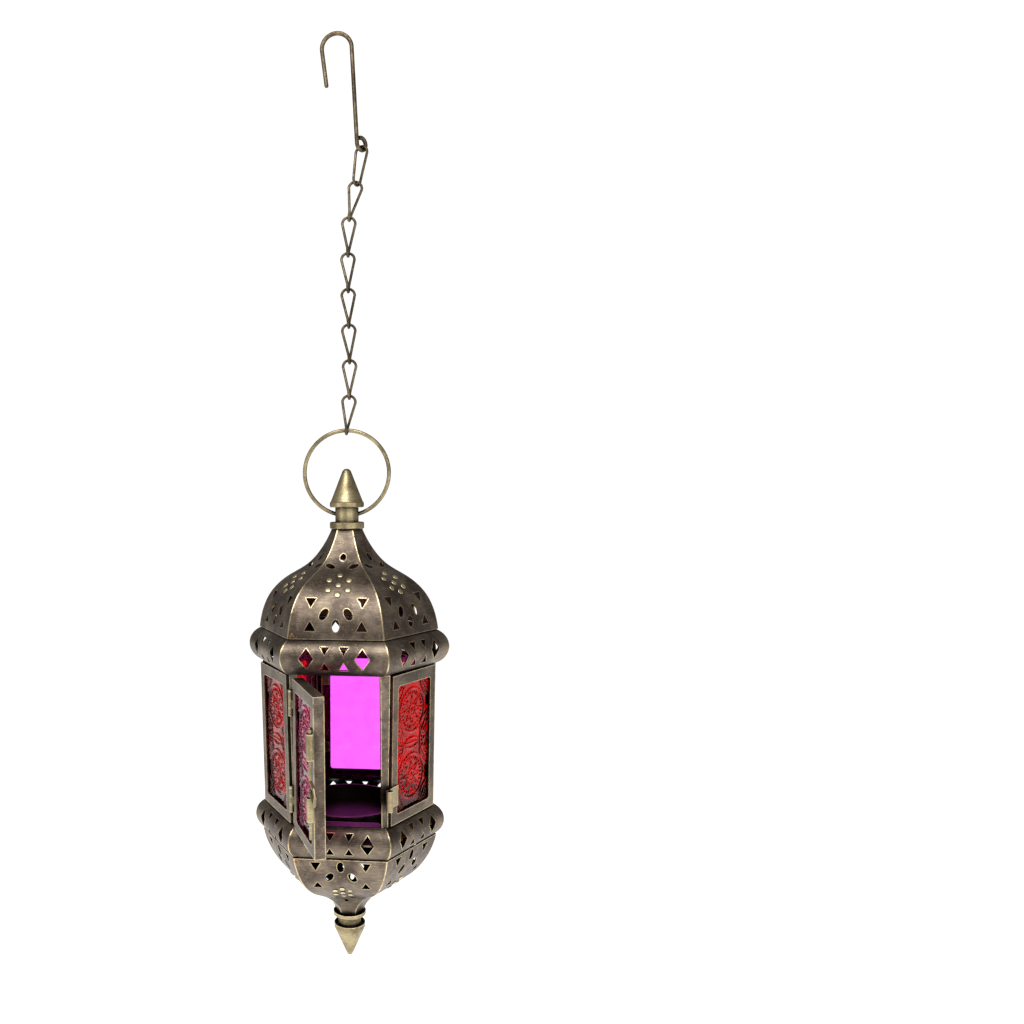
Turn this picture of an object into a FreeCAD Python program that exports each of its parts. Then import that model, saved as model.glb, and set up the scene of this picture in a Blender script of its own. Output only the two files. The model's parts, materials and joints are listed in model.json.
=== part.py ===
"""Hanging candle lantern: hook, chain, carrying ring, six-sided pierced case, glass panes and a latched door.

Millimetres, +Z up. The lantern is drawn about its own axis with Z = 0 on top of the top collar, and save()
shifts every piece so that the origin is the seat inside the hook's crook.
"""
import FreeCAD, Part
import math
import os

V = FreeCAD.Vector
SIDES = 6
STEP_ANGLE = 360.0 / SIDES
FLAT = math.cos(math.radians(STEP_ANGLE / 2))  # apothem over corner radius of a regular hexagon
X_AXIS = V(1, 0, 0)
Y_AXIS = V(0, 1, 0)
Z_AXIS = V(0, 0, 1)
ORIGIN = V(0, 0, 0)

# Driving dimensions
SEAT_X = -3.8          # hook seat beside the lantern's axis
SEAT_Z = 265.7         # hook seat above the top collar
SHEET = 0.8            # sheet metal
FIT = 0.05             # running clearance of the pins and the bolt
BIG = 120.0            # longer than any part of the case

# Hook, chain and ring
HOOK_WIRE = 1.15       # radius of the wire
CROOK_R = 8.2
CROOK_LEG = 19.0       # free leg below the crook's centre
CROOK_SLANT = 7.0      # inward slant of the free leg, degrees
EYE_R = 3.3
EYE_SWEEP = 300.0
EYE_TURN = 50.0        # eye's plane, turned about the vertical
LINK_WIRE = 0.75
LINK_R = 3.6           # wire centre line at both ends of a link
LINK_GAP = 0.12        # between two wires that hang in each other
LINK_SPACING = 13.9    # between a link's top and bottom arc centres
LINK_LEANS = (-10.0, -12.0, -2.0, 0.0, 0.5, 1.0, -1.0, -5.0)
LINK_TURNS = (-25.0, 0.0, 0.0, 0.0, 0.0, 0.0, 0.0, 0.0)
RING_R = 23.4          # wire centre line
RING_WIRE = 1.1
RING_DROP = 0.4        # ring's lowest wire centre below the neck hole's centre
NECK_HOLE_R = 1.8
NECK_HOLE_Z = 4.0

# Case levels (Z) and corner radii
ROOF_TOP_Z = -3.8
ROOF_Z = -58.5
UPPER_BAND_Z = -77.0
BODY_TOP_R = 49.1
BODY_BOTTOM_R = 46.9
LOWER_BAND_Z = -155.4
BOWL_Z = -172.2
ROOF_OUTLINE = ((8.6, ROOF_TOP_Z), (14.0, -13.9), (22.2, -23.0), (33.7, -30.0), (43.6, -39.4),
                (48.3, -49.7), (50.0, ROOF_Z))
UPPER_BAND_ARC = ((48.4, ROOF_Z), (56.0, -67.6), (BODY_TOP_R, UPPER_BAND_Z))
LOWER_BAND_ARC = ((BODY_BOTTOM_R, LOWER_BAND_Z), (52.7, -163.1), (46.8, BOWL_Z))
BOWL_OUTLINE = ((48.4, BOWL_Z), (44.5, -182.9), (33.0, -195.9), (20.1, -203.0), (13.0, -208.8), (8.3, -215.0),
                (7.6, -218.1))
ROOF_TWIST = -2.0      # roof and upper band, turned a little on the body

# Corner posts
POST_SIDE = 0.8        # gap beside each panel
POST_THICK = 1.0

# Panels, door and glass
PANEL_W = 41.2
PANEL_H = 77.4
PANEL_DEEP = 5.5
PANEL_PROUD = 1.5
STILE = 5.0
RAIL_TOP = 6.0
RAIL_BOTTOM = 5.0
GLASS_THICK = 3.0
GLASS_GAP = 0.1
WINDOW_FILLET = 1.5
TAB_W = 6.0
TAB_REACH = 4.0
TAB_RISE = 20.0
DOOR_OPEN = 67.0       # door angle at rest

# Hinge and latch
PIN_U = 24.5           # hinge line beside the middle of the face
PIN_R = 0.7
KNUCKLE_R = 1.6
KNUCKLE_H = 4.0
KNUCKLE_GAP = 0.3
HINGE_RISE = 25.0      # hinges above and below the middle of the door
LATCH_U = 25.8
LATCH_Y = -4.5         # latch line, outside the face
LEAF_REACH = 15.8      # where the latch leaves end on the frames
GUIDE_R = 1.8
BOLT_R = 0.75
GUIDE_UPPER = (15.4, 27.8)   # below the top of the panel
GUIDE_LOWER = (45.4, 56.5)
KEEPER = (56.9, 67.4)
BOLT_TOP = 13.9
BOLT_BOTTOM = 64.5
GRIP_TOP = 37.6        # where the bolt leaves the latch line for its grip
GRIP_POINTS = ((0, 0), (6.5, -1.5), (9.0, -4.6), (7.2, -9.0), (0, -5.4))
TAB_THICK = 0.8

# Floor and candle pan
FLOOR_Z = -164.2       # underside of the floor plate
FLOOR_R = 50.6
SILL_FRONT = 39.6      # door sill, from the axis
SILL_BACK = 33.0
PAN_R = 27.5
PAN_RIM_Z = -154.8
PAN_LIP = 0.9
RIVET_R = 1.3
RIVET_U = -22.6

# Derived
APOTHEM = (BODY_TOP_R + BODY_BOTTOM_R) / 2 * FLAT
FACE_Z = (UPPER_BAND_Z + LOWER_BAND_Z) / 2
LEAN = math.degrees(math.atan((BODY_TOP_R - BODY_BOTTOM_R) * FLAT / (UPPER_BAND_Z - LOWER_BAND_Z)))
OUTER = -PANEL_PROUD         # Y of a panel's outer face in the face's own frame
INNER = OUTER + PANEL_DEEP


def save(name, shape):
    """Write one node, moved so that the hook seat is the origin."""
    moved = shape.copy()
    moved.translate(V(-SEAT_X, 0, -SEAT_Z))
    moved.exportStep("parts/" + name + ".step")


def face_placement(index):
    """From a face's own frame (X across, -Y out, Z up) to the lantern's."""
    lean = FreeCAD.Placement(V(0, -APOTHEM, FACE_Z), FreeCAD.Rotation(X_AXIS, LEAN))
    return FreeCAD.Placement(ORIGIN, FreeCAD.Rotation(Z_AXIS, index * STEP_ANGLE)).multiply(lean)


def turned(shape, angle):
    """Copy of a shape turned about the lantern's axis."""
    copy = shape.copy()
    copy.rotate(ORIGIN, Z_AXIS, angle)
    return copy


def on_face(shape, index):
    """Put a shape from the face's own frame on one side of the body."""
    copy = shape.copy()
    copy.Placement = face_placement(index).multiply(copy.Placement)
    return copy


def box(x0, x1, y0, y1, z0, z1):
    return Part.makeBox(x1 - x0, y1 - y0, z1 - z0, V(x0, y0, z0))


def prism(points, direction):
    """Solid swept along a straight line from a closed polygon."""
    return Part.Face(Part.makePolygon(points + points[:1])).extrude(direction)


def wedge(z_low, z_high):
    """The sector of the case that belongs to the front face."""
    half = BIG * math.tan(math.radians(STEP_ANGLE / 2))
    corners = [V(0, 0, z_low), V(half, -BIG, z_low), V(-half, -BIG, z_low)]
    return prism(corners, V(0, 0, z_high - z_low))


# Pierced sheet metal

class Outline:
    """Side view of one sheet-metal face: a curve in the YZ plane with the outside towards -Y."""

    def __init__(self, curve):
        self.curve = curve
        self.first = curve.FirstParameter
        self.last = curve.LastParameter

    def normal(self, t):
        along = self.curve.tangent(t)[0]
        across = V(0, -along.z, along.y)
        if across.y > 0:
            across = across * -1
        return across

    def at_height(self, z):
        """Curve parameter at one height, by halving."""
        low = self.first
        high = self.last
        for _ in range(40):
            middle = (low + high) / 2
            if self.curve.value(middle).z > z:
                low = middle
            else:
                high = middle
        return (low + high) / 2

    def inside(self, t):
        return self.curve.value(t) - self.normal(t) * SHEET


def spline_outline(points):
    curve = Part.BSplineCurve()
    curve.interpolate([V(0, -radius * FLAT, z) for radius, z in points])
    return Outline(curve)


def arc_outline(points):
    ends = [V(0, -radius * FLAT, z) for radius, z in points]
    curve = Part.Arc(*ends)
    if curve.value(curve.FirstParameter).z < curve.value(curve.LastParameter).z:
        curve.reverse()
    return Outline(curve)


def bent_sheet(outline, count):
    """One mitred face of sheet metal, before it is pierced."""
    span = outline.last - outline.first
    stations = [outline.first + span * i / (count - 1) for i in range(count)]
    inner_points = [outline.inside(t) for t in stations]
    inner = Part.BSplineCurve()
    inner.interpolate(inner_points)
    outer_edge = outline.curve.toShape()
    inner_edge = inner.toShape()
    top = Part.LineSegment(outline.curve.value(outline.first), inner_points[0]).toShape()
    bottom = Part.LineSegment(outline.curve.value(outline.last), inner_points[-1]).toShape()
    wire = Part.Wire([outer_edge, bottom, inner_edge, top])
    section = Part.Face(wire)
    section.translate(V(-BIG / 2, 0, 0))
    slab = section.extrude(V(BIG, 0, 0))
    heights = [outline.curve.value(outline.first).z, outline.curve.value(outline.last).z]
    return slab.common(wedge(min(heights) - SHEET * 4, max(heights) + SHEET * 4))


def through(outline, z, shape_points, tilt=0.0, across=0.0):
    """Cutter for a hole of the given flat outline, square to the sheet at one height."""
    t = outline.at_height(z)
    centre = outline.curve.value(t) + V(across, 0, 0)
    out = outline.normal(t)
    up = V(0, out.z, -out.y)
    turn = math.radians(tilt)
    points = []
    for x, y in shape_points:
        a = x * math.cos(turn) - y * math.sin(turn)
        b = x * math.sin(turn) + y * math.cos(turn)
        points.append(centre + X_AXIS * a + up * b - out * SHEET * 3)
    return prism(points, out * SHEET * 6)


def lens(width, height):
    """Pointed oval, drawn with a short run of points along each side."""
    count = 6
    right = []
    for i in range(count + 1):
        angle = math.pi * i / count
        right.append((width / 2 * math.sin(angle) ** 0.9, height / 2 * math.cos(angle)))
    left = [(-x, y) for x, y in reversed(right[1:-1])]
    return right + left


def triangle(width, height, up):
    sign = 1 if up else -1
    return [(-width / 2, -sign * height / 2), (width / 2, -sign * height / 2), (0, sign * height / 2)]


def diamond(width, height):
    return [(0, -height / 2), (width / 2, 0), (0, height / 2), (-width / 2, 0)]


def rosette(outline, z, ring_radius, dot):
    """Seven raised dots, one in the middle and six around it."""
    places = [(0.0, 0.0)]
    for i in range(6):
        angle = math.radians(60 * i + 30)
        places.append((ring_radius * math.cos(angle), ring_radius * math.sin(angle)))
    dots = []
    for across, rise in places:
        t = outline.at_height(z + rise * 0.75)
        sunk = outline.curve.value(t) - outline.normal(t) * (dot * 0.68)
        dots.append(Part.makeSphere(dot, sunk + V(across, 0, 0)))
    return dots


def roof_panel():
    outline = spline_outline(ROOF_OUTLINE)
    sheet = bent_sheet(outline, 16)
    sheet = sheet.fuse(rosette(outline, -31.6, 6.0, 1.75)).cut(inner_side(outline))
    holes = [through(outline, -18.7, lens(3.4, 5.4)), through(outline, -51.5, lens(4.0, 6.5))]
    for side in (-1, 1):
        holes.append(through(outline, -23.0, lens(3.2, 6.0), side * -58, side * 6.2))
        holes.append(through(outline, -40.3, triangle(6.0, 5.6, False), 0, side * 13.4))
        holes.append(through(outline, -45.8, lens(4.1, 6.8), side * 30, side * 6.3))
        holes.append(through(outline, -51.7, triangle(6.0, 5.2, True), 0, side * 13.4))
    return sheet.cut(holes)


def inner_side(outline):
    """Everything behind the sheet's inner face, which trims the raised dots from behind."""
    count = 16
    span = outline.last - outline.first
    inner = Part.BSplineCurve()
    inner.interpolate([outline.inside(outline.first + span * i / (count - 1)) for i in range(count)])
    start = inner.value(inner.FirstParameter)
    end = inner.value(inner.LastParameter)
    corner = V(0, 2 * SHEET, (start.z + end.z) / 2)
    sides = [inner.toShape(), Part.LineSegment(end, V(0, corner.y, end.z)).toShape(),
             Part.LineSegment(V(0, corner.y, end.z), V(0, corner.y, start.z)).toShape(),
             Part.LineSegment(V(0, corner.y, start.z), start).toShape()]
    section = Part.Face(Part.Wire(sides))
    section.translate(V(-BIG / 2, 0, 0))
    return section.extrude(V(BIG, 0, 0))


def bowl_panel():
    outline = spline_outline(BOWL_OUTLINE)
    sheet = bent_sheet(outline, 16)
    sheet = sheet.fuse(rosette(outline, -194.0, 4.4, 1.5)).cut(inner_side(outline))
    holes = [through(outline, -176.3, lens(3.6, 6.2)), through(outline, -204.6, lens(2.4, 4.2))]
    for side in (-1, 1):
        holes.append(through(outline, -176.3, triangle(5.6, 5.0, False), 0, side * 13.0))
        holes.append(through(outline, -182.6, lens(3.8, 6.2), side * 30, side * 6.0))
        holes.append(through(outline, -188.0, triangle(5.0, 4.6, True), 0, side * 12.6))
        holes.append(through(outline, -200.6, lens(2.6, 5.0), side * 35, side * 4.4))
    return sheet.cut(holes)


def band_section(arc, diamond_size, triangle_size):
    outline = arc_outline(arc)
    sheet = bent_sheet(outline, 12)
    middle = arc[1][1]
    rise = abs(arc[0][1] - arc[2][1]) * 0.22
    holes = []
    for side in (-1, 1):
        holes.append(through(outline, middle, diamond(*diamond_size), 0, side * 14.4))
        holes.append(through(outline, middle + rise, triangle(*triangle_size, False), 0, side * 4.9))
        holes.append(through(outline, middle - rise, triangle(*triangle_size, True), 0, side * 4.9))
    return sheet.cut(holes)


# Body

def corner_post():
    """Flat strip across the corner between the front face and the face to its right."""
    rings = []
    for radius, z in ((BODY_BOTTOM_R, LOWER_BAND_Z), (BODY_TOP_R, UPPER_BAND_Z)):
        setback = (radius - PANEL_W) / 2 - POST_SIDE
        outside = radius - setback / 2
        half = setback * math.sin(math.radians(STEP_ANGLE))
        corners = [V(-half, -outside, z), V(half, -outside, z),
                   V(half, -outside + POST_THICK, z), V(-half, -outside + POST_THICK, z)]
        rings.append(Part.makePolygon(corners + corners[:1]))
    return turned(Part.makeLoft(rings, True, True), STEP_ANGLE / 2)


def pan_frame():
    """Folded frame: a shallow pan open at the back, with a window and bent tabs behind the glass."""
    half = PANEL_W / 2
    rise = PANEL_H / 2
    outer = box(-half, half, OUTER, INNER, -rise, rise)
    hollow = box(-half + SHEET, half - SHEET, OUTER + SHEET, INNER + 1, -rise + SHEET, rise - SHEET)
    window = box(-half + STILE, half - STILE, OUTER - 1, INNER, -rise + RAIL_BOTTOM, rise - RAIL_TOP)
    upright = [edge for edge in window.Edges if abs(edge.tangentAt(edge.FirstParameter).y) > 0.9]
    window = window.makeFillet(WINDOW_FILLET, upright)
    frame = outer.cut([hollow, window])
    behind = OUTER + SHEET + GLASS_THICK + 2 * GLASS_GAP
    tabs = []
    for side in (-1, 1):
        for level in (-TAB_RISE, TAB_RISE):
            x0 = min(side * (half - SHEET - TAB_REACH), side * (half - SHEET / 2))
            x1 = max(side * (half - SHEET - TAB_REACH), side * (half - SHEET / 2))
            tabs.append(box(x0, x1, behind, behind + SHEET / 2, level - TAB_W / 2, level + TAB_W / 2))
    return frame.fuse(tabs).removeSplitter()


def pane():
    side = PANEL_W / 2 - SHEET - GLASS_GAP
    rise = PANEL_H / 2 - SHEET - GLASS_GAP
    front = OUTER + SHEET + GLASS_GAP
    return box(-side, side, front, front + GLASS_THICK, -rise, rise)


def tube(u, z_low, z_high, outer, inner):
    """Upright tube on the hinge or latch line, in the face's own frame."""
    base = V(u, OUTER, z_low)
    shell = Part.makeCylinder(outer, z_high - z_low, base, Z_AXIS)
    return shell.cut(Part.makeCylinder(inner, z_high - z_low, base, Z_AXIS))


def tab_to_post(u, z_low, z_high, outer, posts):
    """Tab from a tube to the corner post behind it, trimmed flush with the post."""
    side = 1 if u > 0 else -1
    plate = box(-TAB_THICK / 2, TAB_THICK / 2, outer - 0.4, outer + 4.0, z_low, z_high)
    plate.rotate(ORIGIN, Z_AXIS, side * STEP_ANGLE / 2)
    plate.translate(V(u, OUTER, 0))
    placed = on_face(plate, 0).cut(posts)
    pieces = sorted(placed.Solids, key=lambda solid: solid.CenterOfMass.y)
    return pieces[0]


def door_swing(shape):
    """Turn a shape in the face's own frame about the hinge line, to the open door."""
    copy = shape.copy()
    copy.rotate(V(-PIN_U, OUTER, 0), Z_AXIS, -DOOR_OPEN)
    return copy


def on_door(shape):
    return on_face(door_swing(shape), 0)


def knuckle_levels(centre):
    """Low and high ends of the three knuckles of one hinge, bottom to top."""
    pitch = KNUCKLE_H + KNUCKLE_GAP
    return [(centre + pitch * i - KNUCKLE_H / 2, centre + pitch * i + KNUCKLE_H / 2) for i in (-1, 0, 1)]


def hinges(posts):
    """Fixed knuckles, door knuckles and pins of both hinges."""
    fixed = []
    moving = []
    pins = []
    for centre in (-HINGE_RISE, HINGE_RISE):
        low, middle, high = knuckle_levels(centre)
        for level in (low, high):
            body = on_face(tube(-PIN_U, level[0], level[1], KNUCKLE_R, PIN_R), 0)
            fixed.append(body.fuse(tab_to_post(-PIN_U, level[0], level[1], KNUCKLE_R, posts)))
        leaf = box(-PIN_U + PIN_R + 0.4, -PANEL_W / 2, OUTER, OUTER + TAB_THICK, middle[0], middle[1])
        knuckle = tube(-PIN_U, middle[0], middle[1], KNUCKLE_R, PIN_R + FIT)
        moving.append(on_door(knuckle.fuse(leaf)))
        pin = Part.makeCylinder(PIN_R, high[1] - low[0], V(-PIN_U, OUTER, low[0]), Z_AXIS)
        head = Part.makeCylinder(KNUCKLE_R, SHEET, V(-PIN_U, OUTER, high[1]), Z_AXIS)
        pins.append(on_face(pin.fuse(head), 0))
    return fixed, moving, pins


def strip(points, z_low, z_high):
    """Bent strip of sheet along a line of (x, y) points, with rounded bends."""
    pieces = []
    for (x0, y0), (x1, y1) in zip(points, points[1:]):
        run = V(x1 - x0, y1 - y0, 0)
        plate = box(0, run.Length, -TAB_THICK / 2, TAB_THICK / 2, z_low, z_high)
        plate.rotate(ORIGIN, Z_AXIS, math.degrees(math.atan2(run.y, run.x)))
        plate.translate(V(x0, y0, 0))
        pieces.append(plate)
    for x, y in points[1:]:
        pieces.append(Part.makeCylinder(TAB_THICK / 2, z_high - z_low, V(x, y, z_low), Z_AXIS))
    return pieces[0].fuse(pieces[1:])


def latch_tube(span, on_post):
    """Guide on the door, or keeper on the frame beside it: a tube with a leaf."""
    z_high = PANEL_H / 2 - span[0]
    z_low = PANEL_H / 2 - span[1]
    centre = V(LATCH_U, LATCH_Y, z_low)
    shell = Part.makeCylinder(GUIDE_R, z_high - z_low, centre, Z_AXIS)
    bore = Part.makeCylinder(BOLT_R + FIT, z_high - z_low + 2, centre - Z_AXIS, Z_AXIS)
    flat = OUTER - TAB_THICK / 2
    if not on_post:
        leaf = strip([(LEAF_REACH, flat), (PANEL_W / 2, flat), (LATCH_U, LATCH_Y + GUIDE_R / 2)], z_low, z_high)
        return on_door(shell.fuse(leaf).cut(bore))
    there = face_placement(1).inverse()
    seen = there.multVec(face_placement(0).multVec(V(LATCH_U, LATCH_Y, (z_low + z_high) / 2)))
    low = seen.z - (z_high - z_low) / 2
    leaf = strip([(-LEAF_REACH, flat), (-PANEL_W / 2, flat), (seen.x, seen.y + GUIDE_R / 2)],
                 low, low + z_high - z_low)
    return on_face(shell, 0).fuse(on_face(leaf, 1)).cut(on_face(bore, 0))


def wire_run(points, radius):
    """Round wire through the points, with a ball at each bend."""
    pieces = []
    for start, end in zip(points, points[1:]):
        run = end - start
        pieces.append(Part.makeCylinder(radius, run.Length, start, run))
    pieces += [Part.makeSphere(radius, point) for point in points]
    return pieces[0].fuse(pieces[1:]).removeSplitter()


def latch_bolt():
    """Wire bolt at its low end of travel, with the grip turned away from the door."""
    top = PANEL_H / 2
    grip = [V(LATCH_U + out, LATCH_Y, top - GRIP_TOP + rise) for out, rise in GRIP_POINTS]
    points = [V(LATCH_U, LATCH_Y, top - BOLT_TOP)] + grip + [V(LATCH_U, LATCH_Y, top - BOLT_BOTTOM)]
    return on_door(wire_run(points, BOLT_R))


# Floor, pan and finials

def hexagon_plate(radius, z, thickness):
    points = []
    for i in range(SIDES):
        angle = math.radians(STEP_ANGLE * i)
        points.append(V(radius * math.cos(angle), radius * math.sin(angle), z))
    return prism(points, V(0, 0, thickness))


def lathe(points):
    """Solid of revolution about the lantern's axis, from (radius, z) points."""
    profile = [V(radius, 0, z) for radius, z in points]
    return Part.Face(Part.makePolygon(profile + profile[:1])).revolve(ORIGIN, Z_AXIS, 360)


def floor_plate():
    return hexagon_plate(FLOOR_R, FLOOR_Z, SHEET)


def door_sill():
    """Flat strip behind the lower band's top edge, under the door."""
    slope = math.tan(math.radians(STEP_ANGLE / 2))
    z = LOWER_BAND_Z - SHEET
    corners = [V(-SILL_FRONT * slope, -SILL_FRONT, z), V(SILL_FRONT * slope, -SILL_FRONT, z),
               V(SILL_BACK * slope, -SILL_BACK, z), V(-SILL_BACK * slope, -SILL_BACK, z)]
    return prism(corners, V(0, 0, SHEET))


def candle_pan():
    """Round pan that stands on the floor plate."""
    bottom = FLOOR_Z + SHEET
    top = PAN_RIM_Z
    return lathe([(0, bottom), (PAN_R, bottom), (PAN_R, top - SHEET), (PAN_R + PAN_LIP, top - SHEET),
                  (PAN_R + PAN_LIP, top), (PAN_R - SHEET, top), (PAN_R - SHEET, bottom + SHEET), (0, bottom + SHEET)])


def finial_top():
    body = lathe([(0, -3.7), (9.1, -3.7), (9.5, -3.3), (9.5, -0.4), (9.1, 0), (6.45, 0), (6.45, 8.1), (9.0, 8.1),
                  (9.45, 8.6), (9.45, 10.6), (8.9, 11.2), (2.3, 28.2), (1.2, 29.2), (0, 29.4)])
    return body.cut(Part.makeCylinder(NECK_HOLE_R, 30, V(-15, 0, NECK_HOLE_Z), X_AXIS))


def finial_bottom():
    """Shallow cup, waist, second cup and cone."""
    return lathe([(0, -218.2), (8.3, -218.2), (8.3, -216.6), (9.0, -216.6), (9.0, -218.4), (8.4, -218.9),
                  (6.5, -219.3), (6.3, -221.5), (6.5, -224.6), (7.9, -224.6), (7.9, -223.3), (8.6, -223.3),
                  (8.6, -225.6), (2.2, -239.9), (1.2, -241.6), (0, -242.2)])


# Hook, chain and ring

def arc_wire(centre, radius, wire, start, sweep, plane_turn):
    """Part of a ring in the XZ plane: angles from +X towards +Z, then turned about the vertical."""
    placement = FreeCAD.Rotation(X_AXIS, 90)
    ring = Part.makeTorus(radius, wire, ORIGIN, Z_AXIS, -180, 180, sweep)
    ring.rotate(ORIGIN, Z_AXIS, start)
    ring.Placement = FreeCAD.Placement(ORIGIN, placement).multiply(ring.Placement)
    ring.rotate(ORIGIN, Z_AXIS, plane_turn)
    ring.translate(centre)
    return ring


def hook():
    crook = V(SEAT_X, 0, SEAT_Z - CROOK_R + HOOK_WIRE)
    slant = math.radians(CROOK_SLANT)
    # The crook runs a little past the horizontal on the free side, so that the leg leaves it in line.
    arc = arc_wire(crook, CROOK_R, HOOK_WIRE, 0, 180 + CROOK_SLANT, 0)
    leave = crook + V(-math.cos(slant), 0, -math.sin(slant)) * CROOK_R
    tip = leave + V(math.sin(slant), 0, -math.cos(slant)) * CROOK_LEG
    shank_top = crook + V(CROOK_R, 0, 0)
    eye = eye_centre()
    turn = math.radians(EYE_TURN)
    shank_end = eye - V(math.cos(turn), math.sin(turn), 0) * EYE_R
    pieces = [arc, Part.makeCylinder(HOOK_WIRE, CROOK_LEG, leave, tip - leave), Part.makeSphere(HOOK_WIRE, tip)]
    run = shank_end - shank_top
    pieces.append(Part.makeCylinder(HOOK_WIRE, run.Length, shank_top, run))
    pieces.append(Part.makeSphere(HOOK_WIRE, shank_end))
    pieces.append(Part.makeSphere(HOOK_WIRE, shank_top))
    pieces.append(arc_wire(eye, EYE_R, HOOK_WIRE, 180, EYE_SWEEP, EYE_TURN))
    return pieces[0].fuse(pieces[1:]).removeSplitter()


def eye_centre():
    """Middle of the hook's eye: the first link hangs on the eye's lowest wire."""
    return chain_tops()[0] + V(0, 0, LINK_R - LINK_WIRE - LINK_GAP - HOOK_WIRE + EYE_R)


def ring_centre():
    return NECK_HOLE_Z - RING_DROP + RING_R


def link_up(index):
    lean = math.radians(LINK_LEANS[index])
    return V(-math.sin(lean), 0, math.cos(lean))


def chain_tops():
    """Centre of each link's top arc, worked upwards from the carrying ring."""
    seat = V(0, 0, ring_centre() + RING_R - RING_WIRE - LINK_GAP - LINK_WIRE)
    tops = []
    for index in reversed(range(len(LINK_LEANS))):
        up = link_up(index)
        top = seat + up * (LINK_R + LINK_SPACING)
        tops.insert(0, top)
        seat = top + up * (LINK_R - 2 * LINK_WIRE - LINK_GAP)
    return tops


def link(index):
    """Twisted loop: its top arc faces the front and its bottom arc faces the side."""
    bottom = V(0, 0, -LINK_SPACING)
    upper = arc_wire(ORIGIN, LINK_R, LINK_WIRE, 0, 180, 0)
    lower = arc_wire(bottom, LINK_R, LINK_WIRE, 180, 180, 90)
    pieces = [lower]
    for side in (-1, 1):
        start = V(side * LINK_R, 0, 0)
        end = bottom + V(0, side * LINK_R, 0)
        pieces.append(Part.makeCylinder(LINK_WIRE, (end - start).Length, start, end - start))
        pieces.append(Part.makeSphere(LINK_WIRE, start))
        pieces.append(Part.makeSphere(LINK_WIRE, end))
    body = upper.fuse(pieces).removeSplitter()
    body.rotate(ORIGIN, Z_AXIS, LINK_TURNS[index])
    body.rotate(ORIGIN, Y_AXIS, -LINK_LEANS[index])
    body.translate(chain_tops()[index])
    return body


def carrying_ring():
    return Part.makeTorus(RING_R, RING_WIRE, V(0, 0, ring_centre()), Y_AXIS)


def rivets():
    """Two domed rivets at the front face's left corner, on the roof rim and on the bowl rim."""
    solids = []
    for outline, z in ((spline_outline(ROOF_OUTLINE), ROOF_Z + 1.8), (spline_outline(BOWL_OUTLINE), BOWL_Z - 2.0)):
        t = outline.at_height(z)
        seat = outline.curve.value(t) + V(RIVET_U, 0, 0)
        out = outline.normal(t)
        ball = Part.makeSphere(RIVET_R * 1.25, seat - out * RIVET_R * 0.75)
        keep = Part.makeCylinder(RIVET_R * 2, RIVET_R * 3, seat, out)
        solids.append(ball.common(keep))
    return [turned(solids[0], ROOF_TWIST), solids[1]]


def build():
    os.makedirs("parts", exist_ok=True)
    save("hook", hook())
    for index in range(len(LINK_LEANS)):
        save("chain_link_%d" % (index + 1), link(index))
    save("carrying_ring", carrying_ring())
    save("finial_top", finial_top())
    roof = roof_panel()
    upper = band_section(UPPER_BAND_ARC, (7.7, 10.6), (5.2, 4.5))
    lower = band_section(LOWER_BAND_ARC, (6.9, 9.8), (4.6, 4.0))
    bowl = bowl_panel()
    posts = Part.makeCompound([turned(corner_post(), STEP_ANGLE * i) for i in range(SIDES)])
    frame = pan_frame()
    glass = pane()
    for i in range(SIDES):
        number = i + 1
        save("roof_panel_%d" % number, turned(roof, STEP_ANGLE * i + ROOF_TWIST))
        save("upper_band_%d" % number, turned(upper, STEP_ANGLE * i + ROOF_TWIST))
        save("lower_band_%d" % number, turned(lower, STEP_ANGLE * i))
        save("bowl_panel_%d" % number, turned(bowl, STEP_ANGLE * i))
        if i > 0:
            save("side_frame_%d" % i, on_face(frame, i))
            save("side_glass_%d" % i, on_face(glass, i))
    save("corner_posts", posts)
    save("door_frame", on_door(frame))
    save("door_glass", on_door(glass))
    fixed, moving, pins = hinges(posts)
    save("hinge_knuckles_fixed", Part.makeCompound(fixed))
    save("hinge_knuckles_door", Part.makeCompound(moving))
    save("hinge_pins", Part.makeCompound(pins))
    save("latch_guides", Part.makeCompound([latch_tube(GUIDE_UPPER, False), latch_tube(GUIDE_LOWER, False)]))
    save("latch_keeper", latch_tube(KEEPER, True))
    save("latch_bolt", latch_bolt())
    save("floor_plate", floor_plate())
    save("door_sill", door_sill())
    save("candle_pan", candle_pan())
    save("finial_bottom", finial_bottom())
    save("rivets", Part.makeCompound(rivets()))


build()
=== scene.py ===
# Looks of the hanging candle lantern: worn bronze, pressed coloured glass, brass fittings, camera and light.

import json
import math

import bpy
import numpy as np
from mathutils import Matrix, Vector


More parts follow.
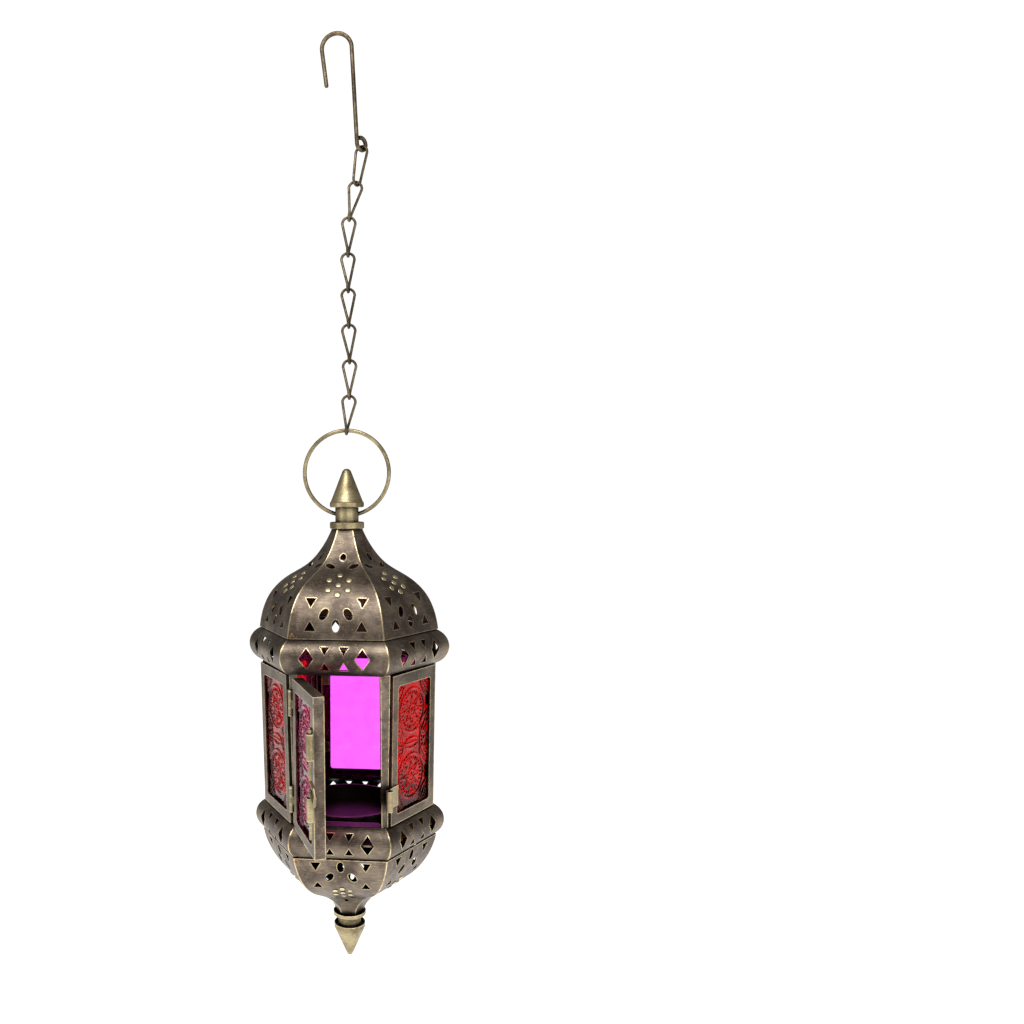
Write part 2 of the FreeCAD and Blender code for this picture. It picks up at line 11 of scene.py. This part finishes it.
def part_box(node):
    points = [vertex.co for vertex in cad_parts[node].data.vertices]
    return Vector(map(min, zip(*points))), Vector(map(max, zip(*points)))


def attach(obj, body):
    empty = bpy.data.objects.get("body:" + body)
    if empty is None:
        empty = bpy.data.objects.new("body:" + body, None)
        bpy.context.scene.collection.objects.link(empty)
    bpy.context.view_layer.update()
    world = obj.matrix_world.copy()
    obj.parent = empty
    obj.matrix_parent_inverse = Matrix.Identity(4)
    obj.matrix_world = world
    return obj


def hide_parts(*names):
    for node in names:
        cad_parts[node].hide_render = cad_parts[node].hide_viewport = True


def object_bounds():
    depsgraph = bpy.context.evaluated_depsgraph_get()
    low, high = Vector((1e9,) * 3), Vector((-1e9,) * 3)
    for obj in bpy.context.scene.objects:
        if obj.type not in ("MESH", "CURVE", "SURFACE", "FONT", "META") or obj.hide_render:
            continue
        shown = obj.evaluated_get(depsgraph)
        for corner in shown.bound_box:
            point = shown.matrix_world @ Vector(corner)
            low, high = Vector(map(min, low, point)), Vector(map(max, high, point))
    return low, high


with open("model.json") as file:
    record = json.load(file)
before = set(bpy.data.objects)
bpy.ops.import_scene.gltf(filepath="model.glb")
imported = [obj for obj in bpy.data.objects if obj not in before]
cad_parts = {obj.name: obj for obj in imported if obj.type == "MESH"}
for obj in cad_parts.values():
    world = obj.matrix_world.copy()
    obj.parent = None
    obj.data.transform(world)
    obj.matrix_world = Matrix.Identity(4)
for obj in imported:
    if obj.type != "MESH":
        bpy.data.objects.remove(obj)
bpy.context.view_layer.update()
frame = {"nodes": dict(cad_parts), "record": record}
NODES = frame["nodes"]
MM = 0.001

# Lantern's own axis and the top of its top collar
FINIAL_ABOVE_COLLAR = 29.4 * MM
finial_low, finial_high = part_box("finial_top")
AXIS_X = (finial_low.x + finial_high.x) / 2
COLLAR_TOP = finial_high.z - FINIAL_ABOVE_COLLAR

# Camera: focal length in mm, distance and height in metres
FOCAL = 32.9
DISTANCE = 0.517
AZIMUTH = math.radians(6.5)
PITCH = math.radians(-1.5)
ROLL = math.radians(-0.4)
EYE_ABOVE_COLLAR = 0.019
SHIFT_X = 0.1612


# ---------------------------------------------------------------- node helpers

class Graph:
    """Short way to write a node material."""

    def __init__(self, name):
        self.material = bpy.data.materials.new(name)
        self.material.use_nodes = True
        self.tree = self.material.node_tree
        self.shader = self.tree.nodes["Principled BSDF"]

    def node(self, kind, settings=None, **inputs):
        made = self.tree.nodes.new("ShaderNode" + kind)
        for key, value in (settings or {}).items():
            setattr(made, key, value)
        for key, value in inputs.items():
            self.put(made.inputs[key.replace("_", " ")], value)
        return made

    def put(self, socket, value):
        if isinstance(value, bpy.types.NodeSocket):
            self.tree.links.new(value, socket)
        else:
            socket.default_value = value

    def math(self, operation, a, b=0.0, clamp=False):
        made = self.node("Math", {"operation": operation, "use_clamp": clamp})
        self.put(made.inputs[0], a)
        self.put(made.inputs[1], b)
        return made.outputs[0]

    def remap(self, value, low, high, to_low=0.0, to_high=1.0):
        made = self.node("MapRange", {"interpolation_type": "SMOOTHSTEP"})
        for socket, given in zip(made.inputs, (value, low, high, to_low, to_high)):
            self.put(socket, given)
        return made.outputs[0]

    def mix(self, factor, a, b):
        made = self.node("Mix", {"data_type": "RGBA"})
        self.put(made.inputs[0], factor)
        self.put(made.inputs[6], a)
        self.put(made.inputs[7], b)
        return made.outputs[2]

    def coordinates(self, scale=(1, 1, 1)):
        place = self.node("TexCoord").outputs["Object"]
        mapping = self.node("Mapping")
        self.put(mapping.inputs["Vector"], place)
        mapping.inputs["Scale"].default_value = scale
        return mapping.outputs[0]

    def noise(self, scale, detail=3.0, roughness=0.55, stretch=(1, 1, 1), distortion=0.0):
        made = self.node("TexNoise", {}, Vector=self.coordinates(stretch))
        made.inputs["Scale"].default_value = scale
        made.inputs["Detail"].default_value = detail
        made.inputs["Roughness"].default_value = roughness
        made.inputs["Distortion"].default_value = distortion
        return made.outputs[0]

    def edge_mask(self, radius, low, high):
        """1 close to a sharp edge, 0 elsewhere."""
        rounded = self.node("Bevel", {"samples": 6}, Radius=radius).outputs[0]
        flat = self.node("NewGeometry").outputs["Normal"]
        dot = self.node("VectorMath", {"operation": "DOT_PRODUCT"})
        self.put(dot.inputs[0], rounded)
        self.put(dot.inputs[1], flat)
        turned = self.math("SUBTRACT", 1.0, dot.outputs["Value"])
        return self.remap(turned, low, high)

    def hollow_shade(self, reach, darkest):
        """Painted shade: 1 in the open, falling to the given value deep inside the case."""
        shade = self.node("AmbientOcclusion", {"samples": 6}, Distance=reach)
        return self.remap(shade.outputs["AO"], 0.46, 0.90, darkest, 1.0)


def rgb(r, g, b):
    return (r, g, b, 1.0)


# ------------------------------------------------------------------- materials

EDGE_REACH = 1.1 * MM     # how far from an edge the metal is rubbed bright
PAINTED_SHADE_REACH = 60 * MM     # how far the painted shade reaches into the case's inside
# darkest value of the painted shade inside the case
PAINTED_SHADE_DARKEST = 0.04


def worn_metal(name, dark, middle, bright, wear, roughness, streak):
    """Patinated metal, rubbed bright on its edges and in fine strokes, with painted shade darkening it deep
    inside the case.
    """
    g = Graph(name)
    patina = g.noise(70, 4.0, 0.6)
    grain = g.noise(1400, 2.0, 0.7)
    mottled = g.noise(260, 5.0, 0.7)
    strokes = g.noise(900, 4.0, 0.75, streak, 0.3)
    edges = g.edge_mask(EDGE_REACH, 0.015, 0.22)
    rubbed_edges = g.math("MULTIPLY", edges, g.remap(mottled, 0.28, 0.52))
    blend = g.math("ADD", g.math("MULTIPLY", strokes, 0.65), g.math("MULTIPLY", patina, 0.35))
    broad = g.remap(blend, 0.47, 0.70)
    speckle = g.remap(g.math("MULTIPLY", grain, mottled), 0.27, 0.40)
    rubbed = g.math("MAXIMUM", g.math("MULTIPLY", broad, wear), g.math("MULTIPLY", speckle, wear * 0.8))
    rubbed = g.math("MAXIMUM", rubbed, rubbed_edges, True)
    base = g.mix(g.remap(patina, 0.35, 0.65), dark, middle)
    colour = g.mix(rubbed, base, bright)
    # painted shade: the metal's colour is mixed towards near-black deep inside the case, standing in for the
    # shade there
    painted_shade = g.hollow_shade(PAINTED_SHADE_REACH, PAINTED_SHADE_DARKEST)
    g.put(g.shader.inputs["Base Color"], g.mix(painted_shade, rgb(0.004, 0.003, 0.003), colour))
    g.put(g.shader.inputs["Metallic"], g.remap(rubbed, 0.0, 1.0, 0.86, 1.0))
    polish = g.remap(rubbed, 0.0, 1.0, roughness, roughness - 0.14)
    rough = g.math("ADD", polish, g.math("MULTIPLY", grain, 0.10))
    g.put(g.shader.inputs["Roughness"], rough)
    g.shader.inputs["Specular IOR Level"].default_value = 0.5
    height = g.math("ADD", g.math("MULTIPLY", grain, 0.6), g.math("MULTIPLY", strokes, 0.4))
    bump = g.node("Bump", {}, Height=height)
    bump.inputs["Strength"].default_value = 0.35
    bump.inputs["Distance"].default_value = 0.00012
    g.put(g.shader.inputs["Normal"], bump.outputs[0])
    return g.material


def pressed_glass(name, tint, deep, sheen):
    """Coloured pressed glass: clear, glossy, with faint streaks of deeper colour and fine ripples."""
    g = Graph(name)
    cloud = g.noise(120, 3.0, 0.6)
    ripple = g.noise(240, 1.0, 0.4)
    g.put(g.shader.inputs["Base Color"], g.mix(g.remap(cloud, 0.35, 0.7), tint, deep))
    g.put(g.shader.inputs["Roughness"], g.remap(ripple, 0.3, 0.8, 0.03, 0.12))
    g.shader.inputs["Transmission Weight"].default_value = 1.0
    g.shader.inputs["IOR"].default_value = 1.42
    g.shader.inputs["Specular IOR Level"].default_value = 0.22
    g.shader.inputs["Specular Tint"].default_value = sheen
    bump = g.node("Bump", {}, Height=ripple)
    bump.inputs["Strength"].default_value = 0.08
    bump.inputs["Distance"].default_value = 0.0002
    g.put(g.shader.inputs["Normal"], bump.outputs[0])
    return g.material


def pale_floor():
    g = Graph("pale_floor")
    faint = g.noise(3, 2.0)
    g.put(g.shader.inputs["Base Color"], g.mix(faint, rgb(0.93, 0.93, 0.93), rgb(0.96, 0.96, 0.96)))
    g.shader.inputs["Roughness"].default_value = 0.9
    g.shader.inputs["Emission Color"].default_value = rgb(1, 1, 1)
    g.shader.inputs["Emission Strength"].default_value = 0.85
    return g.material


LEVEL_STROKES = (0.25, 0.25, 2.4)
MATERIALS = {
    "antique_bronze": worn_metal("antique_bronze", rgb(0.066, 0.048, 0.038), rgb(0.150, 0.116, 0.092),
                                 rgb(0.78, 0.62, 0.34), 0.22, 0.38, LEVEL_STROKES),
    "antique_brass": worn_metal("antique_brass", rgb(0.16, 0.125, 0.066), rgb(0.34, 0.275, 0.150),
                                rgb(0.80, 0.68, 0.42), 0.40, 0.33, LEVEL_STROKES),
    "dark_wire": worn_metal("dark_wire", rgb(0.050, 0.036, 0.022), rgb(0.12, 0.088, 0.052),
                            rgb(0.50, 0.40, 0.22), 0.50, 0.42, (1, 1, 1)),
    "rubbed_brass": worn_metal("rubbed_brass", rgb(0.36, 0.29, 0.16), rgb(0.60, 0.49, 0.28),
                               rgb(0.90, 0.76, 0.46), 0.60, 0.34, (1, 1, 1)),
    "copper_rivet": worn_metal("copper_rivet", rgb(0.10, 0.050, 0.028), rgb(0.22, 0.11, 0.06),
                               rgb(0.50, 0.30, 0.17), 0.40, 0.38, (1, 1, 1)),
    "glass_red": pressed_glass("glass_red", rgb(0.74, 0.002, 0.001), rgb(0.30, 0.001, 0.001),
                               rgb(1.0, 0.12, 0.10)),
    "glass_amber": pressed_glass("glass_amber", rgb(1.0, 0.33, 0.02), rgb(0.85, 0.20, 0.01),
                                 rgb(1.0, 0.6, 0.3)),
    "glass_magenta": pressed_glass("glass_magenta", rgb(1.0, 0.14, 1.0), rgb(0.97, 0.11, 0.94),
                                   rgb(1.0, 0.3, 1.0)),
    "door_magenta": pressed_glass("door_magenta", rgb(0.72, 0.008, 0.16), rgb(0.42, 0.002, 0.05),
                                  rgb(1.0, 0.16, 0.45)),
}


def dress(obj, slot):
    obj.data.materials.clear()
    obj.data.materials.append(MATERIALS[slot])


def dress_cad():
    for part in frame["record"]["subparts"]:
        node = NODES[part["node"]]
        material = MATERIALS[part["material_slot"]]
        if not node.material_slots:
            node.data.materials.append(material)
        for holder in node.material_slots:
            holder.material = material


# ---------------------------------------------------------------- pressed glass

PANE_COLUMNS = 96
PANE_ROWS = 176
RELIEF = 0.80 * MM
FLAT_RELIEF = 0.18 * MM


def ridge(distance, width):
    return np.exp(-(distance / (1.35 * width)) ** 2)


def medallion(u, v, cu, cv, size):
    """Round flower: rings, a string of beads, petals and a boss."""
    r = np.hypot(u - cu, v - cv)
    a = np.arctan2(v - cv, u - cu)
    height = 0.8 * ridge(r - size, 0.45)
    beads = (0.5 + 0.5 * np.cos(a * round(size * 2.4))) ** 2
    height = np.maximum(height, ridge(r - size * 0.80, 0.65) * beads)
    petals = size * (0.42 + 0.20 * np.cos(8 * a))
    height = np.maximum(height, 0.9 * ridge(r - petals, 0.45))
    height = np.maximum(height, 0.7 * ridge(r - size * 0.24, 0.35))
    return np.maximum(height, ridge(r, size * 0.10))


def spray(u, v, cu, cv, lean):
    """Leaf with a raised outline, a midrib and slanting veins."""
    c = math.cos(lean)
    s = math.sin(lean)
    x = (u - cu) * c + (v - cv) * s
    y = -(u - cu) * s + (v - cv) * c
    half = 2.6 * np.sqrt(np.clip(1 - (x / 6.5) ** 2, 0, 1))
    inside = np.abs(x) < 6.5
    outline = ridge(np.abs(y) - half, 0.4) * inside
    midrib = 0.8 * ridge(y, 0.35) * inside
    veins = 0.5 * (0.5 + 0.5 * np.cos((x - np.abs(y)) * 3.4)) ** 3 * (np.abs(y) < half)
    return np.maximum(outline, np.maximum(midrib, veins))


def relief_height(u, v):
    """Raised pattern of a pane, 0 to 1, from millimetres across and up."""
    height = np.zeros_like(u)
    for cv in (-17.5, 17.5):
        height = np.maximum(height, medallion(u, v, 0, cv, 11.5))
    for side in (-1, 1):
        for cv in (-37.0, 0.0, 37.0):
            height = np.maximum(height, medallion(u, v, side * 17.5, cv, 9.5))
        for cv in (-9.0, 9.0, -27.5, 27.5):
            lean = math.radians(90 - side * math.copysign(38, cv) * (1 if abs(cv) < 10 else -1))
            height = np.maximum(height, 0.8 * spray(u, v, side * 12.5, cv * 1.03, lean))
    height = np.maximum(height, 0.9 * spray(u, v, 0, 0, 0))
    stipple = 0.06 * (np.sin(u * 2.1) * np.sin(v * 2.3) * 0.5 + 0.5)
    return np.clip(np.maximum(height, stipple), 0, 1)


def pane_axes(node, outward_hint):
    """Centre, three axes and half sizes of a flat pane, read from its corners."""
    points = np.array([vertex.co for vertex in NODES[node].data.vertices], float)
    corners = np.unique(np.round(points, 6), axis=0)
    centre = corners.mean(axis=0)
    _, _, axes = np.linalg.svd(corners - centre)
    up, across, out = axes
    if up[2] < 0:
        up = -up
    if np.dot(out, outward_hint) < 0:
        out = -out
    across = np.cross(up, out)
    halves = [np.abs((corners - centre) @ axis).max() for axis in (across, up, out)]
    return centre, across, up, out, halves


def glass_pane(node, look, depth, body, outward_hint):
    """Pane with the pressed relief on its outer side, in place of the plain slab."""
    centre, across, up, out, (half_u, half_v, half_w) = pane_axes(node, outward_hint)
    us = np.linspace(-half_u, half_u, PANE_COLUMNS)
    vs = np.linspace(-half_v, half_v, PANE_ROWS)
    grid_v, grid_u = np.meshgrid(vs, us, indexing="ij")
    rise = relief_height(grid_u / MM, grid_v / MM)
    front = half_w - depth + rise * depth
    back = np.full_like(front, -half_w)
    verts = []
    for level in (front, back):
        place = (centre + grid_u[..., None] * across + grid_v[..., None] * up + level[..., None] * out)
        verts.append(place.reshape(-1, 3))
    count = PANE_COLUMNS * PANE_ROWS
    faces = []
    for row in range(PANE_ROWS - 1):
        for column in range(PANE_COLUMNS - 1):
            a = row * PANE_COLUMNS + column
            b = a + 1
            c = a + PANE_COLUMNS + 1
            d = a + PANE_COLUMNS
            faces.append((a, b, c, d))
            faces.append((count + d, count + c, count + b, count + a))
    border = [column for column in range(PANE_COLUMNS)]
    border += [row * PANE_COLUMNS + PANE_COLUMNS - 1 for row in range(1, PANE_ROWS)]
    border += [(PANE_ROWS - 1) * PANE_COLUMNS + column for column in range(PANE_COLUMNS - 2, -1, -1)]
    border += [row * PANE_COLUMNS for row in range(PANE_ROWS - 2, 0, -1)]
    for a, b in zip(border, border[1:] + border[:1]):
        faces.append((b, a, count + a, count + b))
    mesh = bpy.data.meshes.new(node + "_relief")
    mesh.from_pydata(np.concatenate(verts).tolist(), [], faces)
    mesh.update()
    mesh.polygons.foreach_set("use_smooth", [True] * len(mesh.polygons))
    pane = bpy.data.objects.new(node + "_relief", mesh)
    bpy.context.scene.collection.objects.link(pane)
    dress(pane, look)
    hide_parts(node)
    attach(pane, body)
    return pane


def slot_of(node):
    return next(p["material_slot"] for p in frame["record"]["subparts"] if p["node"] == node)


def all_panes():
    for number in range(1, 6):
        node = "side_glass_%d" % number
        low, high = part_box(node)
        middle = (low + high) / 2
        outward = np.array([middle.x - AXIS_X, middle.y, 0])
        slot = slot_of(node)
        depth = FLAT_RELIEF if slot == "glass_magenta" else RELIEF
        glass_pane(node, slot, depth, "lantern", outward)
    outward = np.array([-1.0, -0.4, 0.0])
    glass_pane("door_glass", "door_magenta", RELIEF, "door", outward)


# ------------------------------------------------------------- embossed dots

DOT_RISE = 0.45 * MM
DOT_SUNK = 0.30 * MM          # how far a dome's foot stands below the petal's surface
DOT_SKIRT = 0.15 * MM         # extra depth of the foot, so that no gap shows
DOT_SECTORS = 14
DOT_LEVELS = 4
ROOF_DOTS_DOWN = 31.6 * MM    # middle of the rosette below the collar
ROOF_DOTS_SPACING = 6.0 * MM
ROOF_DOTS_RADIUS = 1.75 * MM
BOWL_DOTS_DOWN = 194.0 * MM
BOWL_DOTS_SPACING = 4.4 * MM
BOWL_DOTS_RADIUS = 1.4 * MM
RISE_ON_SLOPE = 0.75          # height of a rosette against its length along the petal
LOOK_FROM = 0.12              # distance from the axis, outside the case
LOOK_STEP = 2.6 * MM
ROOF_TWIST = math.radians(-2.0)


def dome(centre, out, radius, rise):
    """Rings of a low dome standing on a surface, as vertices and faces."""
    side = out.orthogonal().normalized()
    other = out.cross(side)
    verts = []
    faces = []
    for level in range(DOT_LEVELS):
        lift = math.pi / 2 * level / DOT_LEVELS
        reach = radius * math.cos(lift)
        height = rise * math.sin(lift) - (DOT_SKIRT if level == 0 else 0)
        for k in range(DOT_SECTORS):
            angle = 2 * math.pi * k / DOT_SECTORS
            ring = side * reach * math.cos(angle) + other * reach * math.sin(angle)
            verts.append(centre + ring + out * height)
    verts.append(centre + out * rise)
    for level in range(DOT_LEVELS - 1):
        for k in range(DOT_SECTORS):
            a = level * DOT_SECTORS + k
            b = level * DOT_SECTORS + (k + 1) % DOT_SECTORS
            faces.append((a, b, b + DOT_SECTORS, a + DOT_SECTORS))
    last = (DOT_LEVELS - 1) * DOT_SECTORS
    for k in range(DOT_SECTORS):
        faces.append((last + k, last + (k + 1) % DOT_SECTORS, len(verts) - 1))
    faces.append(tuple(reversed(range(DOT_SECTORS))))
    return verts, faces


def dot_places(spacing):
    places = [(0.0, 0.0)]
    for k in range(6):
        angle = math.radians(60 * k + 30)
        places.append((spacing * math.cos(angle), spacing * math.sin(angle)))
    return places


def embossed_dots(name, node_stem, height, spacing, radius, twist):
    """Seven low domes on each petal, rubbed bright, found by looking at the petal from outside."""
    verts = []
    faces = []
    for number in range(6):
        petal = NODES["%s_%d" % (node_stem, number + 1)]
        turn = Matrix.Rotation(twist + math.radians(60 * number), 3, "Z")
        outward = turn @ Vector((0, -1, 0))
        sideways = turn @ Vector((1, 0, 0))
        axis = Vector((AXIS_X, 0, 0))
        for across, rise in dot_places(spacing):
            lift = Vector((0, 0, height + rise * RISE_ON_SLOPE))
            start = axis + sideways * across + outward * LOOK_FROM + lift
            hit, place, normal, _ = petal.ray_cast(start, -outward)
            if hit:
                out = flat_normal(petal, start, outward)
                more_verts, more_faces = dome(place - normal * DOT_SUNK, out, radius, DOT_RISE)
                faces += [tuple(index + len(verts) for index in face) for face in more_faces]
                verts += more_verts
    mesh = bpy.data.meshes.new(name)
    mesh.from_pydata([tuple(v) for v in verts], [], faces)
    mesh.polygons.foreach_set("use_smooth", [True] * len(mesh.polygons))
    dots = bpy.data.objects.new(name, mesh)
    bpy.context.scene.collection.objects.link(dots)
    dress(dots, "rubbed_brass")
    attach(dots, "lantern")


def flat_normal(petal, start, outward):
    """Direction square to the petal near a point, from two looks above and below it."""
    step = Vector((0, 0, LOOK_STEP))
    above = petal.ray_cast(start + step, -outward)[1]
    below = petal.ray_cast(start - step, -outward)[1]
    along = (above - below).normalized()
    sideways = outward.cross(Vector((0, 0, 1)))
    normal = along.cross(sideways).normalized()
    return normal if normal.dot(outward) > 0 else -normal


# -------------------------------------------------------------- stage and light

FLOOR_RADIUS = 4.0
FLOOR_BELOW = 0.25


def floor_and_light():
    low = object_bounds()[0]
    place = (AXIS_X, 0, low[2] - FLOOR_BELOW)
    bpy.ops.mesh.primitive_circle_add(vertices=96, radius=FLOOR_RADIUS, fill_type="NGON", location=place)
    floor = bpy.context.object
    floor.name = "floor"
    floor.data.materials.append(pale_floor())
    area_light("softbox_left", (-0.85, -0.75, -0.10), 0.6, 1.1, 3.2)
    area_light("softbox_right", (0.85, -0.70, -0.20), 0.5, 1.1, 2.6)
    area_light("softbox_top", (-0.15, -0.75, 0.65), 0.8, 0.8, 13.0)
    area_light("fill_front", (0.45, -1.2, -0.05), 0.5, 0.5, 2.4)


def area_light(name, place, width, height, power):
    light = bpy.data.lights.new(name, "AREA")
    light.shape = "RECTANGLE"
    light.size = width
    light.size_y = height
    light.energy = power
    holder = bpy.data.objects.new(name, light)
    bpy.context.scene.collection.objects.link(holder)
    target = Vector((AXIS_X, 0, COLLAR_TOP - 0.11))
    holder.location = Vector(place)
    holder.rotation_euler = (target - holder.location).to_track_quat("-Z", "Y").to_euler()


def white_world():
    """White to the eye and through clear glass, softer as a source of light."""
    world = bpy.data.worlds.new("studio")
    bpy.context.scene.world = world
    world.use_nodes = True
    tree = world.node_tree
    background = tree.nodes["Background"]
    path = tree.nodes.new("ShaderNodeLightPath")
    seen = tree.nodes.new("ShaderNodeMath")
    seen.operation = "MAXIMUM"
    tree.links.new(path.outputs["Is Camera Ray"], seen.inputs[0])
    tree.links.new(path.outputs["Is Transmission Ray"], seen.inputs[1])
    strength = tree.nodes.new("ShaderNodeMapRange")
    tree.links.new(seen.outputs[0], strength.inputs[0])
    strength.inputs[3].default_value = 0.19
    strength.inputs[4].default_value = 1.05
    background.inputs[0].default_value = (1, 1, 1, 1)
    tree.links.new(strength.outputs[0], background.inputs[1])


def camera():
    data = bpy.data.cameras.new("camera")
    data.lens = FOCAL
    data.sensor_width = 36.0
    data.shift_x = SHIFT_X
    data.clip_start = 0.01
    holder = bpy.data.objects.new("camera", data)
    bpy.context.scene.collection.objects.link(holder)
    holder.location = (AXIS_X + DISTANCE * math.sin(AZIMUTH), -DISTANCE * math.cos(AZIMUTH),
                       COLLAR_TOP + EYE_ABOVE_COLLAR)
    turn = Matrix.Rotation(AZIMUTH, 4, "Z") @ Matrix.Rotation(math.pi / 2 + PITCH, 4, "X")
    holder.rotation_euler = (turn @ Matrix.Rotation(ROLL, 4, "Z")).to_euler()
    bpy.context.scene.camera = holder


def main():
    dress_cad()
    all_panes()
    roof_height = COLLAR_TOP - ROOF_DOTS_DOWN
    bowl_height = COLLAR_TOP - BOWL_DOTS_DOWN
    embossed_dots("roof_dots", "roof_panel", roof_height, ROOF_DOTS_SPACING, ROOF_DOTS_RADIUS, ROOF_TWIST)
    embossed_dots("bowl_dots", "bowl_panel", bowl_height, BOWL_DOTS_SPACING, BOWL_DOTS_RADIUS, 0.0)
    floor_and_light()
    white_world()
    camera()
    bpy.context.scene.view_settings.view_transform = "Standard"


main()
